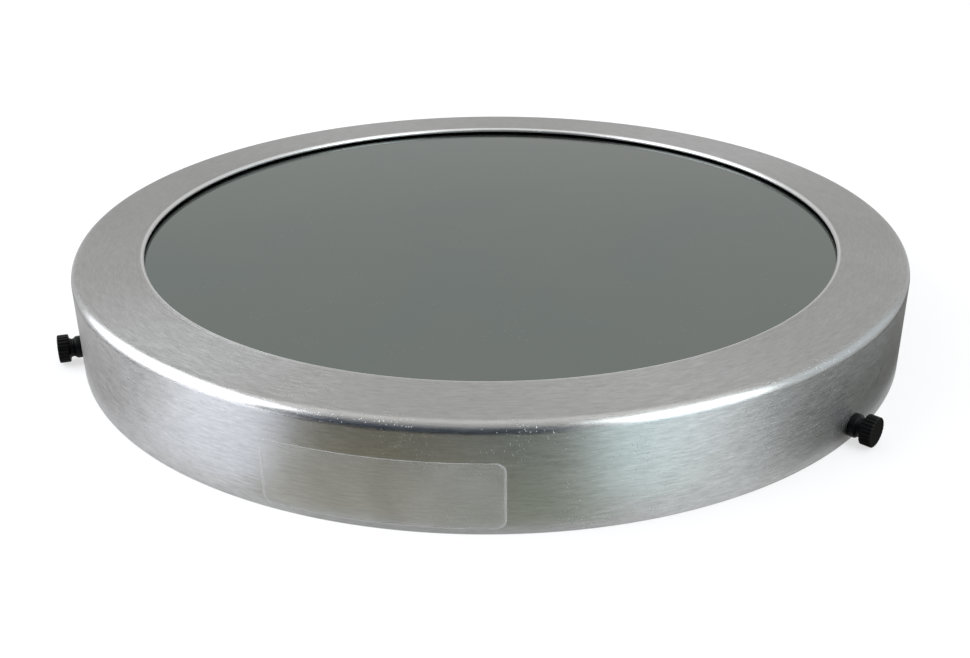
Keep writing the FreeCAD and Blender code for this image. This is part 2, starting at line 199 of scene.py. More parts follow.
def reflected_card(name, tone, beside, path, soft_sides, soft_ends):
    """A curved card that only reflections show. Its path of (distance, height) points is swept from
    one azimuth to another, and it thins out towards its edges: cover is the product of a smooth
    step in from each side and from each end."""
    steps = np.linspace(0.0, 1.0, CARD_POINTS)
    azimuth = VIEW_AZIMUTH + np.radians(beside[0] + (beside[1] - beside[0]) * steps)
    run = np.linspace(0.0, len(path) - 1.0, CARD_POINTS)
    distance, height = (np.interp(run, np.arange(len(path)), column) for column in zip(*path))
    points = np.stack([
        distance[:, None] * np.sin(azimuth),
        -distance[:, None] * np.cos(azimuth),
        height[:, None] + 0 * azimuth,
    ], -1).reshape(-1, 3)
    across = np.minimum(smooth(steps, 0.0, soft_sides[0]), smooth(1 - steps, 0.0, soft_sides[1]))
    along = np.minimum(smooth(steps, 0.0, soft_ends[0]), smooth(1 - steps, 0.0, soft_ends[1]))
    cover = along[:, None] * across
    mesh = bpy.data.meshes.new(name)
    quads = grid_quads(CARD_POINTS, CARD_POINTS, closed_rows=False, closed_columns=False)
    mesh.from_pydata(points.tolist(), [], quads.reshape(-1, 4).tolist())
    mesh.attributes.new("cover", "FLOAT", "POINT").data.foreach_set("value", cover.ravel().astype(np.float32))
    material = bpy.data.materials.new(name)
    tree = emptied(material)
    cover_value = node(tree, "ShaderNodeAttribute", attribute_name="cover").outputs["Fac"]
    nothing = node(tree, "ShaderNodeBsdfTransparent")
    # The card's own glow: bright for the glow cards, dark painted shade for the dark ones.
    card_emission = node(tree, "ShaderNodeEmission", {"Color": (*tone, 1.0), "Strength": 1.0})
    thinned = mix_shaders(tree, cover_value, nothing, card_emission)
    node(tree, "ShaderNodeOutputMaterial", {"Surface": thinned.outputs[0]})
    mesh.materials.append(material)
    card = bpy.data.objects.new(name, mesh)
    bpy.context.scene.collection.objects.link(card)
    card.visible_camera = card.visible_diffuse = card.visible_shadow = card.visible_transmission = False


BEHIND_CAMERA = [
    (0.40, 0.001), (0.7, 0.002), (1.3, 0.01), (1.65, 0.25), (1.6, 0.7), (1.3, 1.15), (0.95, 1.45),
]
# name, tone, azimuths beside the camera, path of (distance, height), soft share of the sides and of the ends
CARDS = [
    ("card_behind_camera", (0.050, 0.080, 0.135), (-54.0, 28.0),
     BEHIND_CAMERA, (0.12, 0.2), (0.03, 0.36)),
    # Painted shade: a dark card lying on the floor in front of the object, seen only in reflections.
    ("shade_card_in_front", (0.060, 0.068, 0.080), (-38.0, 20.0),
     lying(0.001, 0.20, 0.24, 0.34, 0.50), (0.15, 0.2), (0.05, 0.1)),
    # Painted shade: tinted cards that darken the floor close in front of the object, seen only in
    # reflections.
    ("shade_card_in_front_left", (0.60, 0.55, 0.37), (-32.0, 6.0),
     lying(0.0012, 0.156, 0.175, 0.195, 0.22), (0.25, 0.5), (0.02, 0.3)),
    ("shade_card_in_front_right", (0.60, 0.66, 0.53), (-14.0, 19.0),
     lying(0.0010, 0.156, 0.175, 0.195, 0.22), (0.5, 0.35), (0.02, 0.3)),
    # Painted shadow: a dark brown card for the floor to the right. Its brown is the floor's own tone and its
    # darkness is the object's contact shadow, seen only in reflections.
    ("shade_card_to_the_right", (0.11, 0.105, 0.085), (27.0, 112.0),
     lying(0.001, 0.156, 0.18, 0.21, 0.25), (0.26, 0.2), (0.02, 0.45)),
    # Painted shade: a grey card that darkens the floor close to the left of the object, seen only in
    # reflections.
    ("shade_card_to_the_left", (0.54, 0.51, 0.51), (-115.0, -44.0),
     lying(0.001, 0.156, 0.18, 0.21, 0.25), (0.2, 0.25), (0.02, 0.45)),
    ("glow_left", (1.55, 1.62, 1.80), (-56.0, -24.0),
     lying(0.0008, 0.16, 0.18, 0.2, 0.25), (0.4, 0.25), (0.05, 0.3)),
    ("glow_left_farther", (3.0, 3.1, 3.4), (-66.0, -32.0),
     lying(0.0006, 0.20, 0.26, 0.4, 0.7), (0.4, 0.25), (0.2, 0.3)),
    ("glow_right", (1.25, 1.62, 1.62), (8.0, 34.0),
     lying(0.0008, 0.162, 0.19, 0.22, 0.3), (0.3, 0.6), (0.2, 0.3)),
    ("glow_right_farther", (1.8, 2.2, 2.5), (16.0, 56.0),
     lying(0.0006, 0.21, 0.26, 0.4, 0.7), (0.15, 0.6), (0.2, 0.3)),
]
for card_values in CARDS:
    reflected_card(*card_values)


# Cell. One blank of aluminium spun over a form: a straight skirt, a rounded corner, a flat front
# and a short lip turned down at the opening, with a painted highlight along its edge. Brushed by hand,
# unpainted.
MM = 0.001
WALL = 1.6
SKIRT = 154.0
BORE = SKIRT - WALL
FRONT = 35.2
CORNER = 3.5
CORNER_CENTRE = (SKIRT - CORNER, FRONT - CORNER)
OPENING = 128.9
LIP_BEND, LIP_TURN = 8.0, 2.5
LIP_CENTRE = (OPENING + LIP_TURN, FRONT - LIP_BEND)
LIP_EDGE = 1.3
GROOVE = ((2.5, 0.0), (2.25, 0.10), (2.0, 0.10), (1.75, 0.0))
TURNS = 720
HOLE_RADIUS = 2.72
HOLE_HEIGHT = 5.4
HOLE_ROWS = np.linspace(1.0, 9.8, 9)
HOLE_COLUMNS = 5
SCREWS = {"left": 210, "right": 330, "back": 90}


def arc(centre, radius, start, end, steps):
    """Points on a circle in the section: centre + radius (cos a, sin a), a even from start to end degrees."""
    a = np.radians(np.linspace(start, end, steps + 1))
    return np.column_stack([centre[0] + radius * np.cos(a), centre[1] + radius * np.sin(a)])


def eased(outline, reach, steps=4):
    """A closed outline with each sharp corner rounded. A corner C becomes the curve
    (1-t)^2 A + 2t(1-t) C + t^2 B, where A and B lie on its two sides, reach away from it."""
    before, after = np.roll(outline, 1, 0) - outline, np.roll(outline, -1, 0) - outline
    long_before = np.linalg.norm(before, axis=1, keepdims=True)
    long_after = np.linalg.norm(after, axis=1, keepdims=True)
    opening = (before * after).sum(1) / (long_before * long_after).ravel()
    sharp = opening > np.cos(np.radians(155.0))
    step = np.minimum(reach, 0.45 * np.minimum(long_before, long_after))
    t = np.linspace(0.0, 1.0, steps + 1)[None, :, None]
    start = (outline + before / long_before * step)[:, None]
    end = (outline + after / long_after * step)[:, None]
    curve = (1 - t) ** 2 * start + 2 * t * (1 - t) * outline[:, None] + t ** 2 * end
    curve[~sharp, 0] = outline[~sharp]
    kept = np.ones(curve.shape[:2], bool)
    kept[~sharp, 1:] = False
    return curve[kept]


def braced(outline, distances):
    """A closed outline with more points near both ends of its long sides, at the distances
    from each end, so that the shading of a flat side stays flat."""
    after = np.roll(outline, -1, 0) - outline
    length = np.linalg.norm(after, axis=1, keepdims=True)
    places = np.concatenate([[0.0], distances])
    along = (after / length)[:, None]
    near = outline[:, None] + along * places[None, :, None]
    far = (outline + after)[:, None] - along * np.sort(distances)[::-1][None, :, None]
    points = np.concatenate([near, far], 1)
    kept = np.ones(points.shape[:2], bool)
    kept[length.ravel() < 2.5 * max(distances), 1:] = False
    return points[kept]


def turned_points(outline, angles):
    """A section (r, z) carried about the Z axis: (r cos a, r sin a, z) for each angle a. Rows follow the
    section, so an anticlockwise one gives a surface that faces outwards."""
    r, z = outline[:, :1], outline[:, 1:]
    return np.stack([r * np.cos(angles), r * np.sin(angles), z + 0 * angles], -1)


def make_piece(name, points, faces, material, body, node_name, marks=None, crease=32.0):
    """One piece from points in mm: its faces smooth, its edges over crease degrees crisp, with the
    named values of marks stored on its points for the material."""
    mesh = bpy.data.meshes.new(name)
    mesh.from_pydata((points * MM).tolist(), [], [list(face) for face in faces])
    for label, values in (marks or {}).items():
        kind, field = ("FLOAT_VECTOR", "vector") if values.ndim == 2 else ("FLOAT", "value")
        stored = mesh.attributes.new(label, kind, "POINT").data
        stored.foreach_set(field, np.ascontiguousarray(values, np.float32).ravel())
    mesh.materials.append(material)
    mesh.polygons.foreach_set("use_smooth", np.ones(len(mesh.polygons), bool))
    mesh.set_sharp_from_angle(angle=np.radians(crease))
    mesh.validate()
    piece = bpy.data.objects.new(name, mesh)
    bpy.context.scene.collection.objects.link(piece)
    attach(piece, body)
    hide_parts(node_name)
    return piece


def cell_outline():
    """The cell's section, anticlockwise: rim, outside, corner, front, lip, then back along the inside."""
    inside = CORNER - WALL
    outline = np.concatenate([
        [(BORE + 0.2, 0.0), (SKIRT - 0.2, 0.0), (SKIRT, 0.2)],
        np.column_stack([np.full(9, SKIRT), HOLE_ROWS]),
        arc(CORNER_CENTRE, CORNER, 0.0, 90.0, 30),
        [(OPENING + out, FRONT - deep) for out, deep in GROOVE],
        arc((OPENING + LIP_EDGE, FRONT - LIP_EDGE), LIP_EDGE, 90.0, 165.0, 10),
        [(OPENING + 0.29, FRONT - 1.62)],
        arc(LIP_CENTRE, LIP_BEND - WALL, 105.8, 90.0, 6),
        arc(CORNER_CENTRE, inside, 90.0, 0.0, 12),
        np.column_stack([np.full(9, BORE), HOLE_ROWS[::-1]]),
        [(BORE, 0.2)],
    ])
    return braced(eased(outline, 0.22), [0.15, 0.5, 1.4])


def drilled(points, quads, outline):
    """The skirt with its three insert holes. Round each hole a patch of the grid, on the outside and
    on the inside of the wall, is replaced by rings that close from the patch's edge to the hole's
    circle, and the two circles are joined by the hole's own wall."""
    row_count, turns = quads.shape[:2]
    keep = np.ones((row_count, turns), bool)
    all_points, all_faces = [points.reshape(-1, 3)], []
    count = points.shape[0] * points.shape[1]
    side = np.arange(-HOLE_COLUMNS, HOLE_COLUMNS + 1)
    last = len(HOLE_ROWS) - 1
    rim_rows = np.concatenate([
        np.zeros(len(side), int), np.arange(1, last + 1),
        np.full(len(side) - 1, last), np.arange(last - 1, 0, -1),
    ])
    rim_columns = np.concatenate([side, np.full(last, side[-1]), side[-2::-1], np.full(last - 1, side[0])])
    for azimuth in SCREWS.values():
        centre_column = azimuth * turns // 360
        circles = []
        for radius, outer in ((SKIRT, True), (BORE, False)):
            rows = np.array([np.hypot(*(outline - (radius, z)).T).argmin() for z in HOLE_ROWS])
            columns = (centre_column + rim_columns) % turns
            rim = rows[rim_rows] * turns + columns
            lowest, highest = rows.min(), rows.max()
            keep[lowest:highest, (centre_column + side[:-1]) % turns] = False
            sideways = radius * np.sin(2 * np.pi * rim_columns / turns)
            height = HOLE_ROWS[rim_rows]
            psi = np.arctan2(height - HOLE_HEIGHT, SKIRT * np.sin(2 * np.pi * rim_columns / turns))
            rings = [rim]
            for part in (0.3, 0.62, 0.86, 1.0):
                y = sideways + part * (HOLE_RADIUS * np.cos(psi) - sideways)
                z = height + part * (HOLE_HEIGHT + HOLE_RADIUS * np.sin(psi) - height)
                a = np.radians(azimuth) + np.arcsin(y / radius)
                all_points.append(np.column_stack([radius * np.cos(a), radius * np.sin(a), z]))
                rings.append(np.arange(count, count + len(y)))
                count += len(y)
            for ring, inner in zip(rings, rings[1:]):
                band = np.column_stack([ring, np.roll(ring, -1), np.roll(inner, -1), inner])
                all_faces.append(band if outer else band[:, ::-1])
            circles.append(rings[-1])
        outside, inside = circles
        all_faces.append(np.column_stack([outside, np.roll(outside, -1), np.roll(inside, -1), inside]))
    faces = np.concatenate([quads[keep]] + all_faces)
    used, renumbered = np.unique(faces, return_inverse=True)
    return np.concatenate(all_points)[used], renumbered.reshape(-1, 4)


def group(name, inputs, outputs):
    """An empty node group with its named sockets."""
    tree = bpy.data.node_groups.new(name, "ShaderNodeTree")
    for label, kind, usual in inputs:
        socket = tree.interface.new_socket(label, in_out="INPUT", socket_type=kind)
        if usual is not None:
            socket.default_value = usual
    for label, kind in outputs:
        tree.interface.new_socket(label, in_out="OUTPUT", socket_type=kind)
    return tree, node(tree, "NodeGroupInput"), node(tree, "NodeGroupOutput")


def fill(tree, made_group, inputs):
    """Places a group in a tree and sets its inputs."""
    return node(tree, "ShaderNodeGroup", inputs, node_tree=made_group)


def spread(tree, value, low, high, to_low, to_high):
    """A value moved from one range to another and held inside it."""
    return node(tree, "ShaderNodeMapRange", {0: value, 1: low, 2: high, 3: to_low, 4: to_high}).outputs[0]


def blend_colours(tree, factor, first, second):
    """A colour between two others."""
    made = node(tree, "ShaderNodeMix", data_type="RGBA")
    for socket, given in ((made.inputs[0], factor), (made.inputs[6], first), (made.inputs[7], second)):
        if isinstance(given, bpy.types.NodeSocket):
            tree.links.new(given, socket)
        else:
            socket.default_value = given if isinstance(given, float) else (*given, 1.0)
    return made.outputs[2]


def bump(tree, height, strength, distance):
    """A normal tilted by the slope of a height."""
    inputs = {"Height": height, "Strength": strength, "Distance": distance}
    return node(tree, "ShaderNodeBump", inputs).outputs[0]


def new_material(name, shader):
    """A material with one Principled BSDF, its constants set on its own sockets."""
    material = bpy.data.materials.new(name)
    tree = emptied(material)
    surface = node(tree, "ShaderNodeBsdfPrincipled", shader)
    node(tree, "ShaderNodeOutputMaterial", {"Surface": surface.outputs[0]})
    return material, tree, surface


def feed(tree, shader, inputs):
    """Links sockets to a shader's inputs."""
    for key, socket in inputs.items():
        tree.links.new(socket, shader.inputs[key])


# Marks left round the axis by turning, spinning and brushing: noise drawn out along the circle.
turning_marks, given, result = group(
    "turning_marks",
    [("Turned", "NodeSocketVector", None), ("Lines", "NodeSocketFloat", 1500.0),
     ("Strokes", "NodeSocketFloat", 12.0)],
    [("Marks", "NodeSocketFloat")],
)
strokes, lines = given.outputs["Strokes"], given.outputs["Lines"]
stretch = node(turning_marks, "ShaderNodeCombineXYZ", {0: strokes, 1: strokes, 2: lines}).outputs[0]
drawn = node(
    turning_marks, "ShaderNodeVectorMath", {0: given.outputs["Turned"], 1: stretch}, operation="MULTIPLY"
).outputs[0]
mixed = 0.0
for scale, detail, roughness, share in ((1.0, 3.0, 0.65, 0.6), (3.1, 2.0, 0.6, 0.4)):
    streaks = node(turning_marks, "ShaderNodeTexNoise", {
        "Vector": drawn, "Scale": scale, "Detail": detail, "Roughness": roughness,
    })
    mixed = calc(turning_marks, "ADD", calc(turning_marks, "MULTIPLY", streaks.outputs[0], share), mixed)
turning_marks.links.new(spread(turning_marks, mixed, 0.3, 0.7, 0.0, 1.0), result.inputs["Marks"])

# Small pits and nicks: the darkest points of a fine noise, kept only where a broad noise lets them gather.
nicks, given, result = group(
    "nicks",
    [("Place", "NodeSocketVector", None), ("Scale", "NodeSocketFloat", 900.0),
     ("Rarity", "NodeSocketFloat", 0.7)],
    [("Nick", "NodeSocketFloat")],
)
speck = node(nicks, "ShaderNodeTexNoise", {
    "Vector": given.outputs["Place"], "Scale": given.outputs["Scale"], "Detail": 0.0,
})
where = node(nicks, "ShaderNodeTexNoise", {"Vector": given.outputs["Place"], "Scale": 60.0, "Detail": 1.0})
gathered = calc(nicks, "MULTIPLY", speck.outputs[0], spread(nicks, where.outputs[0], 0.4, 0.65, 0.85, 1.08))
above_it = calc(nicks, "SUBTRACT", gathered, given.outputs["Rarity"])
nicks.links.new(calc(nicks, "MULTIPLY", above_it, 18.0, clamp=True), result.inputs["Nick"])

# Handling marks: broad faint patches where fingers and cloths have been.
smears, given, result = group(
    "smears",
    [("Place", "NodeSocketVector", None), ("Scale", "NodeSocketFloat", 12.0)],
    [("Smear", "NodeSocketFloat")],
)
cloud = node(smears, "ShaderNodeTexNoise", {
    "Vector": given.outputs["Place"], "Scale": given.outputs["Scale"],
    "Detail": 4.0, "Roughness": 0.55, "Distortion": 0.8,
})
smears.links.new(spread(smears, cloud.outputs[0], 0.35, 0.68, 0.0, 1.0), result.inputs["Smear"])

CELL_TONE = (0.335, 0.335, 0.330)
CELL_TONE_PALE = (0.440, 0.440, 0.432)
CELL_TONE_DULL = (0.255, 0.254, 0.246)
# Paler tone of the painted highlight along the lip's edge.
LIP_HIGHLIGHT_TONE = (0.58, 0.58, 0.575)

spun_aluminium, tree, shader = new_material("spun_aluminium", {
    "Metallic": 1.0, "Anisotropic": 0.75, "Anisotropic Rotation": 0.25,
    "Specular Tint": (0.75, 0.75, 0.75, 1.0),
})
turned = node(tree, "ShaderNodeAttribute", attribute_name="turned").outputs["Vector"]
polish = node(tree, "ShaderNodeAttribute", attribute_name="polish").outputs["Fac"]
place = node(tree, "ShaderNodeTexCoord").outputs["Object"]
brushing = fill(tree, turning_marks, {"Turned": turned, "Lines": 1500.0, "Strokes": 26.0})
coarse = fill(tree, turning_marks, {"Turned": turned, "Lines": 330.0, "Strokes": 10.0})
pits = fill(tree, nicks, {"Place": place, "Scale": 1500.0, "Rarity": 0.73})
handled = fill(tree, smears, {"Place": place, "Scale": 16.0})
tone = blend_colours(tree, brushing.outputs["Marks"], CELL_TONE_DULL, CELL_TONE_PALE)
tone = blend_colours(tree, spread(tree, coarse.outputs["Marks"], 0.0, 1.0, 0.05, 0.55), tone, CELL_TONE)
tone = blend_colours(tree, calc(tree, "MULTIPLY", handled.outputs["Smear"], 0.18), tone, CELL_TONE_DULL)
# Painted highlight: the lip's edge gets a paler base colour, so that it shows as a bright line round the
# opening.
lip_highlight = node(tree, "ShaderNodeAttribute", attribute_name="lip_highlight").outputs["Fac"]
tone = blend_colours(tree, lip_highlight, tone, LIP_HIGHLIGHT_TONE)
rough = spread(tree, polish, 0.0, 1.0, 0.37, 0.26)
uneven = calc(tree, "SUBTRACT", brushing.outputs["Marks"], 0.5)
rough = calc(tree, "ADD", rough, calc(tree, "MULTIPLY", uneven, 0.10))
rough = calc(tree, "ADD", rough, calc(tree, "MULTIPLY", handled.outputs["Smear"], 0.05))
depth = calc(tree, "MULTIPLY", brushing.outputs["Marks"], spread(tree, polish, 0.0, 1.0, 1.0, 0.25))
depth = calc(tree, "SUBTRACT", depth, calc(tree, "MULTIPLY", pits.outputs["Nick"], 3.0))
relief = bump(tree, depth, 1.0, 0.000011)
round_axis = node(tree, "ShaderNodeTangent", direction_type="RADIAL", axis="Z")
feed(tree, shader, {
    "Base Color": tone, "Roughness": rough, "Normal": relief, "Tangent": round_axis.outputs[0],
})


def axis_marks(points):
    """What the turning marks follow, per point: the direction from the axis, and a length along the
    section, z - r."""
    r = np.hypot(points[:, 0], points[:, 1])
    return np.column_stack([points[:, 0] / r, points[:, 1] / r, (points[:, 2] - r) * MM])


outline = cell_outline()
angles = 2 * np.pi * np.arange(TURNS) / TURNS
cell_points, cell_faces = drilled(turned_points(outline, angles), grid_quads(len(outline), TURNS), outline)
r, z = np.hypot(cell_points[:, 0], cell_points[:, 1]), cell_points[:, 2]
on_corner = smooth(r, CORNER_CENTRE[0] - 0.9, CORNER_CENTRE[0] + 0.9)
on_corner *= smooth(z, CORNER_CENTRE[1] - 0.1, CORNER_CENTRE[1] + 0.25)
# Where the lip's painted highlight lies.
on_lip = smooth(OPENING - r, -1.4, -0.9)
make_piece(
    "cell_shell", cell_points, cell_faces, spun_aluminium, "cell", "cell",
    {"turned": axis_marks(cell_points), "polish": on_corner, "lip_highlight": on_lip},
)


# Filter glass. A flat round plate whose front carries a mirror coating that lets almost no
# light through. Its edge is ground and lightly chamfered, and it lies between two gaskets.
GLASS_RADIUS, GLASS_BACK, GLASS_TOP, GLASS_CHAMFER = 151.0, 29.5, 32.7, 0.4

coated_glass, tree, shader = new_material("coated_glass", {
    "Metallic": 1.0, "Specular Tint": (0.75, 0.75, 0.75, 1.0),
})
place = node(tree, "ShaderNodeTexCoord").outputs["Object"]
wiped = fill(tree, smears, {"Place": place, "Scale": 9.0})
dusty = fill(tree, nicks, {"Place": place, "Scale": 1100.0, "Rarity": 0.78})
tone = blend_colours(tree, wiped.outputs["Smear"], (0.143, 0.166, 0.156), (0.156, 0.172, 0.158))
tone = blend_colours(tree, calc(tree, "MULTIPLY", dusty.outputs["Nick"], 0.35), tone, (0.3, 0.3, 0.29))
rough = spread(tree, wiped.outputs["Smear"], 0.0, 1.0, 0.015, 0.05)
feed(tree, shader, {"Base Color": tone, "Roughness": rough})

ground_edge, tree, shader = new_material("ground_edge", {"IOR": 1.5})
place = node(tree, "ShaderNodeTexCoord").outputs["Object"]
grinding = node(tree, "ShaderNodeTexNoise", {"Vector": place, "Scale": 2500.0, "Detail": 2.0})
feed(tree, shader, {
    "Base Color": blend_colours(tree, grinding.outputs[0], (0.25, 0.36, 0.31), (0.40, 0.52, 0.46)),
    "Roughness": spread(tree, grinding.outputs[0], 0.3, 0.7, 0.45, 0.7),
})


def disc_points(rings):
    """The points of a turned section that starts and ends on its axis. The first and last rows are single
    points, the others whole rings."""
    return np.concatenate([rings[0, :1], rings[1:-1].reshape(-1, rings.shape[2]), rings[-1, :1]])


def disc_faces(rows, columns):
    """The faces of such a solid: quads between its rings and a fan at each end."""
    ring = np.arange(columns)
    after = np.roll(ring, -1)
    between = 1 + grid_quads(rows - 2, columns, closed_rows=False).reshape(-1, 4)
    first_fan = np.column_stack([np.zeros(columns, int), 1 + after, 1 + ring])
    top = 1 + (rows - 3) * columns
    last_fan = np.column_stack([top + ring, top + after, np.full(columns, top + columns)])
    return between.tolist() + first_fan.tolist() + last_fan.tolist()


section = np.array([
    (0.0, GLASS_BACK), (60.0, GLASS_BACK), (120.0, GLASS_BACK), (150.0, GLASS_BACK),
    (GLASS_RADIUS - GLASS_CHAMFER, GLASS_BACK), (GLASS_RADIUS, GLASS_BACK + GLASS_CHAMFER),
    (GLASS_RADIUS, GLASS_TOP - GLASS_CHAMFER), (GLASS_RADIUS - GLASS_CHAMFER, GLASS_TOP),
    (150.0, GLASS_TOP), (120.0, GLASS_TOP), (60.0, GLASS_TOP), (0.0, GLASS_TOP),
])
angles = 2 * np.pi * np.arange(360) / 360
glass_points = disc_points(turned_points(section, angles))
glass_faces = disc_faces(len(section), len(angles))
glass = make_piece(
    "filter_glass", glass_points, glass_faces, coated_glass, "cell", "solar_glass",
    crease=20.0,
)
glass.data.materials.append(ground_edge)
radii = np.array([np.hypot(*glass_points[face, :2].T).min() for face in glass_faces])
on_edge = (radii > GLASS_RADIUS - 1.01 * GLASS_CHAMFER).astype(np.int32)
glass.data.polygons.foreach_set("material_index", on_edge)


# Gaskets. Two flat rings of black rubber that hold the glass off the metal, one in front
# under the turned front and one behind on the retaining ring. Their cut edges are soft.
GASKET_TURNS = 480
RING_TOP = 27.7

gasket_rubber, tree, shader = new_material("gasket_rubber", {"Specular IOR Level": 0.35})
place = node(tree, "ShaderNodeTexCoord").outputs["Object"]
skin = node(tree, "ShaderNodeTexNoise", {"Vector": place, "Scale": 1800.0, "Detail": 3.0})
bloom = fill(tree, smears, {"Place": place, "Scale": 40.0})
relief = bump(tree, skin.outputs[0], 0.5, 0.00003)
feed(tree, shader, {
    "Base Color": blend_colours(tree, bloom.outputs["Smear"], (0.012, 0.012, 0.013), (0.030, 0.030, 0.030)),
    "Roughness": spread(tree, skin.outputs[0], 0.3, 0.7, 0.62, 0.82),
    "Normal": relief,
})


def gasket(name, node_name, section, reach):
    """A whole rubber ring of one section, its corners rounded by reach."""
    shape = braced(eased(np.array(section, float), reach), [0.3])
    points = turned_points(shape, 2 * np.pi * np.arange(GASKET_TURNS) / GASKET_TURNS).reshape(-1, 3)
    faces = grid_quads(len(shape), GASKET_TURNS).reshape(-1, 4)
    make_piece(name, points, faces, gasket_rubber, "cell", node_name)


def box_section(inner, outer, low, high):
    """A rectangle in the section, anticlockwise."""
    return [(inner, low), (outer, low), (outer, high), (inner, high)]


gasket("gasket_front", "front_gasket", box_section(132.6, 147.0, GLASS_TOP, FRONT - WALL), 0.3)
gasket("gasket_rear", "rear_gasket", box_section(145.0, GLASS_RADIUS, RING_TOP, GLASS_BACK), 0.4)


# Retaining ring. A flat bar of aluminium rolled into a ring with a gap, sprung into the
# skirt behind the glass. Its long corners are broken and it is left as rolled.
RING_GAP_AZIMUTH, RING_GAP = 50.0, 6.0

ring_aluminium, tree, shader = new_material("ring_aluminium", {"Metallic": 1.0, "Anisotropic": 0.4})
turned = node(tree, "ShaderNodeAttribute", attribute_name="turned").outputs["Vector"]
place = node(tree, "ShaderNodeTexCoord").outputs["Object"]
drawn_lines = fill(tree, turning_marks, {"Turned": turned, "Lines": 2200.0, "Strokes": 5.0})
handled = fill(tree, smears, {"Place": place, "Scale": 30.0})
dents = fill(tree, nicks, {"Place": place, "Scale": 700.0, "Rarity": 0.72})
tone = blend_colours(tree, drawn_lines.outputs["Marks"], (0.40, 0.40, 0.39), (0.52, 0.52, 0.51))
tone = blend_colours(tree, calc(tree, "MULTIPLY", handled.outputs["Smear"], 0.3), tone, (0.33, 0.32, 0.31))
dented = calc(tree, "MULTIPLY", dents.outputs["Nick"], 3.0)
depth = calc(tree, "SUBTRACT", drawn_lines.outputs["Marks"], dented)
relief = bump(tree, depth, 1.0, 0.000005)
round_axis = node(tree, "ShaderNodeTangent", direction_type="RADIAL", axis="Z")
feed(tree, shader, {
    "Base Color": tone,
    "Roughness": spread(tree, drawn_lines.outputs["Marks"], 0.0, 1.0, 0.26, 0.40),
    "Normal": relief,
    "Tangent": round_axis.outputs[0],
})


def split_band(shape, azimuth, gap, steps):
    """A section carried round the Z axis from one side of a gap to the other, each end closed by the
    section itself."""
    half = gap / 2 / shape[:, 0].mean()
    angles = np.radians(azimuth) + np.linspace(half, 2 * np.pi - half, steps + 1)
    points = turned_points(shape, angles).reshape(-1, 3)
    quads = grid_quads(len(shape), steps + 1, closed_columns=False).reshape(-1, 4)
    start = np.arange(len(shape)) * (steps + 1)
    return points, quads.tolist() + [start.tolist(), (start + steps)[::-1].tolist()]


shape = braced(eased(np.array(box_section(149.1, 152.3, 22.9, RING_TOP)), 0.4), [0.4])
points, faces = split_band(shape, RING_GAP_AZIMUTH, RING_GAP, 480)
make_piece(
    "retaining_ring_split", points, faces, ring_aluminium, "cell", "retaining_ring",
    {"turned": axis_marks(points)},
)


# Felt lining. A strip of black felt stuck round the inside of the skirt, where it rubs on
# the telescope tube. Its face is fuzzy and a little uneven, and its two ends nearly meet.
FELT_GAP_AZIMUTH, FELT_GAP = 20.0, 1.2
FELT_FACE, FELT_BACK = 150.42, 152.3
FELT_LOW, FELT_HIGH = 10.35, 21.9
LUMPS, LUMP_SIZE = 14, 0.022

black_felt, tree, shader = new_material("black_felt", {
    "Sheen Weight": 0.35, "Sheen Roughness": 0.5, "Specular IOR Level": 0.15,
})
place = node(tree, "ShaderNodeTexCoord").outputs["Object"]
fibres = node(tree, "ShaderNodeTexNoise", {
    "Vector": place, "Scale": 900.0, "Detail": 5.0, "Roughness": 0.75, "Distortion": 2.0,
})
mats = fill(tree, smears, {"Place": place, "Scale": 120.0})
tone = blend_colours(tree, fibres.outputs[0], (0.006, 0.006, 0.007), (0.034, 0.034, 0.036))
tone = blend_colours(tree, calc(tree, "MULTIPLY", mats.outputs["Smear"], 0.5), tone, (0.016, 0.016, 0.017))
relief = bump(tree, fibres.outputs[0], 0.9, 0.0003)
feed(tree, shader, {
    "Base Color": tone,
    "Roughness": spread(tree, fibres.outputs[0], 0.2, 0.8, 0.85, 1.0),
    "Normal": relief,
})

face_heights = np.linspace(FELT_LOW, FELT_HIGH, 15)[::-1]
face_side = np.column_stack([np.full(len(face_heights), FELT_FACE), face_heights])
shape = eased(np.concatenate([[(FELT_BACK, FELT_LOW), (FELT_BACK, FELT_HIGH)], face_side]), 0.45)
points, faces = split_band(shape, FELT_GAP_AZIMUTH, FELT_GAP, 900)
r, a, z = np.hypot(points[:, 0], points[:, 1]), np.arctan2(points[:, 1], points[:, 0]), points[:, 2]
lumps = np.random.default_rng(7)
push = np.zeros(len(points))
for waves_round, waves_up in zip(lumps.integers(60, 420, LUMPS), lumps.uniform(0.2, 2.2, LUMPS)):
    push += LUMP_SIZE * np.sin(waves_round * a + waves_up * z + lumps.uniform(0, 2 * np.pi))
loose = smooth(-r, -151.8, -150.9)
points[:, :2] *= ((r + loose * push) / r)[:, None]
points[:, 2] += 0.6 * push * np.sign(z - 16.1) * smooth(np.abs(z - 16.1), 5.0, 5.6)
make_piece("felt_strip", points, faces, black_felt, "cell", "felt_lining", crease=60.0)


# Threaded inserts. Three small flanged bushes of turned steel, pressed through the skirt
# from inside, each with a tapped bore for its thumbscrew.
PITCH = 0.794
INSERT_BACK = (150.03 - SKIRT, 152.33 - SKIRT)

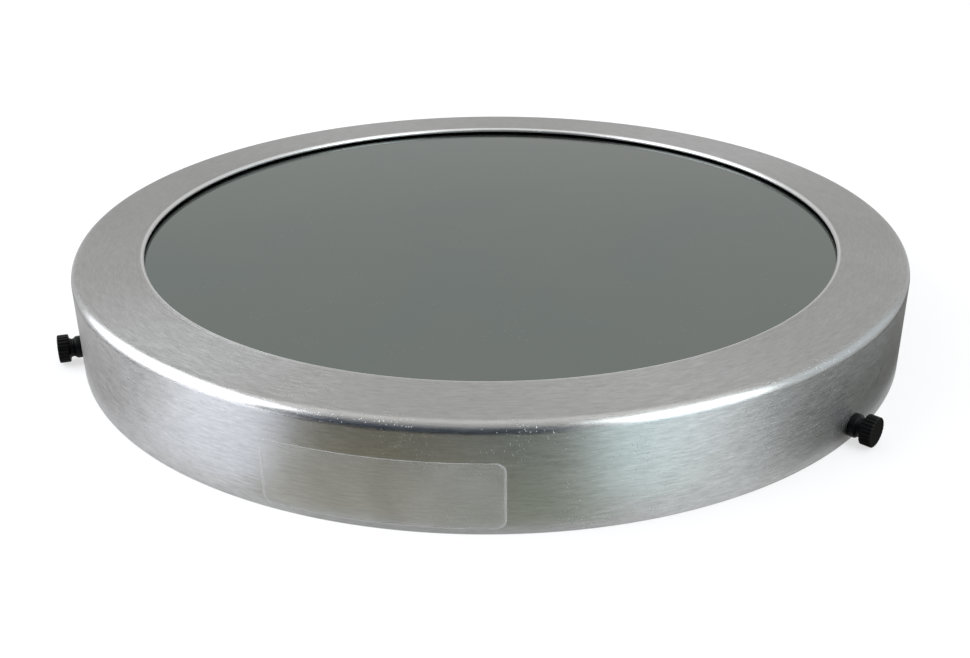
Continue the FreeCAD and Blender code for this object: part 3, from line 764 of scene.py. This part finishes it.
insert_steel, tree, shader = new_material("insert_steel", {"Metallic": 1.0})
turned = node(tree, "ShaderNodeAttribute", attribute_name="turned").outputs["Vector"]
place = node(tree, "ShaderNodeTexCoord").outputs["Object"]
lathe = fill(tree, turning_marks, {"Turned": turned, "Lines": 9000.0, "Strokes": 1.2})
oily = fill(tree, smears, {"Place": place, "Scale": 260.0})
tone = blend_colours(tree, lathe.outputs["Marks"], (0.30, 0.29, 0.27), (0.46, 0.45, 0.43))
tone = blend_colours(tree, calc(tree, "MULTIPLY", oily.outputs["Smear"], 0.4), tone, (0.24, 0.22, 0.19))
relief = bump(tree, lathe.outputs["Marks"], 1.0, 0.000004)
feed(tree, shader, {
    "Base Color": tone,
    "Roughness": spread(tree, lathe.outputs["Marks"], 0.0, 1.0, 0.24, 0.42),
    "Normal": relief,
})


def on_screw_axis(axial, radius, psi, azimuth):
    """Points round a screw's axis, which leaves the skirt level and square to it: out by axial from the
    skirt's face, then radius away from the axis at the angle psi."""
    a = np.radians(azimuth)
    out = np.array([np.cos(a), np.sin(a), 0])
    aside = np.array([-np.sin(a), np.cos(a), 0])
    up = np.array([0, 0, 1.0])
    spoke = np.cos(psi)[..., None] * aside + np.sin(psi)[..., None] * up
    return (SKIRT + axial)[..., None] * out + radius[..., None] * spoke + HOLE_HEIGHT * up


def thread_depth(axial, psi):
    """0 on the crest and 1 in the root of a right-handed thread: a flat-topped triangle wave of
    axial / PITCH - psi / 2 pi."""
    phase = (axial / PITCH - psi / (2 * np.pi)) % 1.0
    return np.clip(np.abs(2 * phase - 1) * 1.45 - 0.2, 0.0, 1.0)


TAPPED = 2.14
INSERT_TURNS = 64
seat_back, seat = INSERT_BACK
bore_rows = np.arange(seat_back + 0.45, -0.3, PITCH / 10)
section = np.concatenate([
    [(TAPPED + 0.3, seat_back), (3.65, seat_back), (3.95, seat_back + 0.3), (3.95, seat)],
    [(2.70, seat), (2.70, -0.1), (2.40, -0.1), (TAPPED, -0.28)],
    np.column_stack([np.full(len(bore_rows), TAPPED), bore_rows[::-1]]),
    [(TAPPED, seat_back + 0.3)],
])
section = eased(section, 0.08, 2)
psi = 2 * np.pi * np.arange(INSERT_TURNS) / INSERT_TURNS
radius = np.repeat(section[:, :1], INSERT_TURNS, 1)
axial = np.repeat(section[:, 1:], INSERT_TURNS, 1)
angle = np.tile(psi, (len(section), 1))
in_bore = (np.abs(radius - TAPPED) < 0.02) & (axial < -0.3) & (axial > seat_back + 0.4)
radius = radius + 0.38 * thread_depth(axial, angle) * in_bore
marks = np.stack([np.cos(angle), np.sin(angle), (axial - radius) * MM], -1).reshape(-1, 3)
faces = grid_quads(len(section), INSERT_TURNS).reshape(-1, 4)
for side_name, azimuth in SCREWS.items():
    points = on_screw_axis(axial, radius, angle, azimuth).reshape(-1, 3)
    make_piece(
        f"insert_{side_name}", points, faces, insert_steel, "cell", f"thread_insert_{side_name}",
        {"turned": marks},
    )


# Thumbscrews. Three screws moulded in black nylon: a threaded shank, a collar with a rounded
# edge, a narrow neck and a flat head with a straight knurl to grip.
SHANK = 2.08
TIP, COLLAR_SEAT = -9.2, 0.3
HEAD = 5.0
HEAD_BACK, HEAD_FRONT = 4.3545, 8.1045
KNURLS = 24
SCREW_TURNS = 192

black_nylon, tree, shader = new_material("black_nylon", {"IOR": 1.5, "Specular IOR Level": 0.12})
place = node(tree, "ShaderNodeTexCoord").outputs["Object"]
turned = node(tree, "ShaderNodeAttribute", attribute_name="turned").outputs["Vector"]
moulded = node(tree, "ShaderNodeTexNoise", {"Vector": place, "Scale": 2600.0, "Detail": 2.0})
rubbed = fill(tree, smears, {"Place": place, "Scale": 220.0})
lines = fill(tree, turning_marks, {"Turned": turned, "Lines": 6000.0, "Strokes": 1.5})
tone = blend_colours(tree, rubbed.outputs["Smear"], (0.0008, 0.0008, 0.001), (0.003, 0.003, 0.0035))
depth = calc(tree, "ADD", moulded.outputs[0], calc(tree, "MULTIPLY", lines.outputs["Marks"], 0.5))
relief = bump(tree, depth, 0.6, 0.00001)
feed(tree, shader, {
    "Base Color": tone,
    "Roughness": spread(tree, rubbed.outputs["Smear"], 0.0, 1.0, 0.34, 0.5),
    "Normal": relief,
})

collar_curve = arc((0.6, 3.65), 0.3, 180.0, 90.0, 5)
collar_front = arc((1.6, 2.85), 1.1, 90.0, 90.0 - 48.8, 6)
neck_curve = arc((3.2545, 4.3), 1.1, 180.0 + 41.2, 270.0 + 90.0, 16)
shank_rows = np.arange(TIP + 0.12, COLLAR_SEAT - 0.1, PITCH / 9)
section = np.concatenate([
    [(TIP, 0.0), (TIP, 1.0), (TIP, 1.5), (TIP + 0.08, 1.62)],
    np.column_stack([shank_rows, np.full(len(shank_rows), SHANK)]),
    [(COLLAR_SEAT - 0.05, SHANK), (COLLAR_SEAT, SHANK + 0.08), (COLLAR_SEAT, 3.2)],
    collar_curve, collar_front, neck_curve[1:],
    [(HEAD_BACK, 4.45), (HEAD_BACK, 4.62), (HEAD_BACK + 0.03, 4.80), (HEAD_BACK + 0.12, 4.93)],
    [(HEAD_BACK + 0.27, HEAD), (HEAD_BACK + 0.6, HEAD)],
    [(x, HEAD) for x in np.linspace(HEAD_BACK + 1.0, HEAD_FRONT - 0.6, 5)],
    [(HEAD_FRONT - 0.27, HEAD), (HEAD_FRONT - 0.12, 4.94), (HEAD_FRONT - 0.03, 4.83)],
    [(HEAD_FRONT, 4.70), (HEAD_FRONT, 4.5), (HEAD_FRONT, 3.9), (HEAD_FRONT - 0.03, 3.6)],
    [(HEAD_FRONT - 0.06, 3.2), (HEAD_FRONT - 0.07, 1.6), (HEAD_FRONT - 0.07, 0.0)],
])
psi = 2 * np.pi * np.arange(SCREW_TURNS) / SCREW_TURNS
axial = np.repeat(section[:, :1], SCREW_TURNS, 1)
radius = np.repeat(section[:, 1:], SCREW_TURNS, 1)
angle = np.tile(psi, (len(section), 1))
on_shank = (radius > 1.9) * (axial < COLLAR_SEAT - 0.06)
on_shank = on_shank * smooth(axial, TIP + 0.1, TIP + 0.9) * smooth(-axial, -0.15, 0.5)
lead_in = np.clip((axial - TIP) / 0.5, 0.0, 1.0)
radius = np.where((axial < TIP + 0.5) & (radius > 1.9), 1.58 + 0.5 * lead_in, radius)
radius = radius - 0.40 * on_shank * thread_depth(axial, angle)
turn_step = (angle * KNURLS / (2 * np.pi) + 0.5) % 1.0 - 0.5
notch = np.clip(1.0 - np.abs(turn_step) / 0.24, 0.0, 1.0)
radius = radius - 0.3 * notch * smooth(radius, 4.62, 4.80) * (axial > HEAD_BACK - 0.01)
marks = disc_points(np.stack([np.cos(angle), np.sin(angle), (axial - radius) * MM], -1))
faces = disc_faces(len(section), SCREW_TURNS)
for side_name, azimuth in SCREWS.items():
    points = disc_points(on_screw_axis(axial, radius, angle, azimuth))
    make_piece(
        f"thumbscrew_{side_name}_turned", points, faces, black_nylon, f"thumbscrew_{side_name}",
        f"thumbscrew_{side_name}", {"turned": marks}, crease=38.0,
    )


# Label. A rectangle of clear matt film with rounded corners, stuck on the skirt below the
# opening. It is left blank: only its haze and its cut edge show.
LABEL_AZIMUTH = -89.25
LABEL_LENGTH, LABEL_HEIGHT = 71.8, 21.3
LABEL_BASE = 1.9
LABEL_MIDDLE = LABEL_BASE + LABEL_HEIGHT / 2
LABEL_CORNER = 3.0
LABEL_BACK, LABEL_FACE = 154.02, 154.12

clear_film, tree, shader = new_material("clear_film", {"IOR": 1.45})
place = node(tree, "ShaderNodeTexCoord").outputs["Object"]
rim = node(tree, "ShaderNodeAttribute", attribute_name="rim").outputs["Fac"]
haze = fill(tree, smears, {"Place": place, "Scale": 45.0})
grain = node(tree, "ShaderNodeTexNoise", {"Vector": place, "Scale": 3000.0, "Detail": 2.0})
relief = bump(tree, grain.outputs[0], 0.15, 0.000004)
opacity = spread(tree, haze.outputs["Smear"], 0.0, 1.0, 0.12, 0.16)
opacity = calc(tree, "ADD", opacity, calc(tree, "MULTIPLY", rim, 0.2))
back = node(tree, "ShaderNodeNewGeometry").outputs["Backfacing"]
opacity = calc(tree, "MULTIPLY", opacity, calc(tree, "SUBTRACT", 1.0, back))
feed(tree, shader, {
    "Base Color": blend_colours(tree, haze.outputs["Smear"], (0.50, 0.50, 0.49), (0.58, 0.58, 0.57)),
    "Roughness": spread(tree, grain.outputs[0], 0.3, 0.7, 0.38, 0.55),
    "Alpha": opacity,
    "Normal": relief,
})


def rounded_rectangle(half_length, half_height, corner, steps):
    """The edge of a rectangle with round corners, anticlockwise, with even points along its long sides."""
    across = np.linspace(-1.0, 1.0, 49)[1:-1] * (half_length - corner)
    upright = np.linspace(-1.0, 1.0, 13)[1:-1] * (half_height - corner)
    x, y = half_length - corner, half_height - corner
    return np.concatenate([
        np.column_stack([across, np.full(len(across), -half_height)]),
        arc((x, -y), corner, -90.0, 0.0, steps),
        np.column_stack([np.full(len(upright), half_length), upright]),
        arc((x, y), corner, 0.0, 90.0, steps),
        np.column_stack([across[::-1], np.full(len(across), half_height)]),
        arc((-x, y), corner, 90.0, 180.0, steps),
        np.column_stack([np.full(len(upright), -half_length), upright[::-1]]),
        arc((-x, -y), corner, 180.0, 270.0, steps),
    ])


border = rounded_rectangle(LABEL_LENGTH / 2, LABEL_HEIGHT / 2, LABEL_CORNER, 8)
inset = np.concatenate([[0.0, 0.012, 0.03, 0.08], np.linspace(0.16, 0.96, 14)])
along, up = np.moveaxis(border[None] * (1.0 - inset)[:, None, None], 2, 0)
levels = np.full(len(inset), LABEL_FACE)
levels[0] = LABEL_FACE - 0.03


def on_skirt(along, up, level):
    """A flat layout wrapped round the skirt: along becomes an angle at the skirt's radius, up stays
    upright."""
    a = np.radians(LABEL_AZIMUTH) + along / SKIRT
    return np.stack([level * np.cos(a), level * np.sin(a), LABEL_MIDDLE + up], -1)


face_rows = on_skirt(along, up, levels[:, None])
back_rows = on_skirt(along[::-1], up[::-1], np.full((len(inset), 1), LABEL_BACK))
centre = on_skirt(np.zeros(1), np.zeros(1), np.array([LABEL_FACE]))
centre_back = on_skirt(np.zeros(1), np.zeros(1), np.array([LABEL_BACK]))
rows = np.concatenate([back_rows, face_rows])
points = np.concatenate([centre_back, rows.reshape(-1, 3), centre])
faces = disc_faces(len(rows) + 2, len(border))
at_edge = np.repeat(np.concatenate([inset[::-1], inset]) < 0.02, len(border)).astype(float)
make_piece(
    "label_film", points, faces, clear_film, "cell", "label",
    {"rim": np.concatenate([[0.0], at_edge, [0.0]])}, crease=50.0,
)
